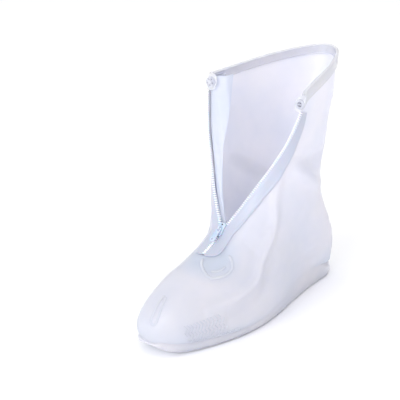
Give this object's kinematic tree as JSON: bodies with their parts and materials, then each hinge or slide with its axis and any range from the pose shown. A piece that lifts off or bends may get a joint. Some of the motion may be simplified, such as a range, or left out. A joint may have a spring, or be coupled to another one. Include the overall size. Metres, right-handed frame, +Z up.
{
  "type": "zip-up rain shoe cover",
  "caption": "Translucent waterproof overshoe with a moulded sole, an open front zip with a storm flap behind it and a press snap at the rim.",
  "frame": {"origin": "on the floor, under the middle of the sole's length", "axes": "+Z up, -Y towards the toe, +X towards the outer (lateral) side of this left cover"},
  "size_m": [0.1137, 0.2829, 0.2633],
  "materials": {
    "milky_pvc": "translucent milky PVC film with a soft gloss",
    "sole_pvc": "thicker moulded PVC, cloudy and satin",
    "blue_pvc": "translucent PVC film with a light blue tint",
    "tooth_plastic": "moulded white zip teeth",
    "slider_plastic": "glossy clear white plastic",
    "snap_plastic": "glossy clear plastic snap"
  },
  "bodies": {
    "cover": {"shell": "milky_pvc", "outsole": "sole_pvc", "hem_band": "blue_pvc", "zip_tape_lateral": "blue_pvc", "zip_tape_medial": "blue_pvc", "zip_teeth_lateral": "tooth_plastic", "zip_teeth_medial": "tooth_plastic", "zip_chain": "tooth_plastic", "storm_flap": "blue_pvc", "snap_stud": "snap_plastic", "snap_socket": "snap_plastic", "zip_slider": "slider_plastic"},
    "pull": {"zip_pull": "slider_plastic"}
  },
  "joints": [
    {"name": "pull_swing", "type": "hinge", "parent": "cover", "child": "pull", "pos_m": [0.00427, -0.03944, 0.1019], "axis": [-0.9993, 0.0252, 0.0276], "range_deg": [0, 150]}
  ]
}
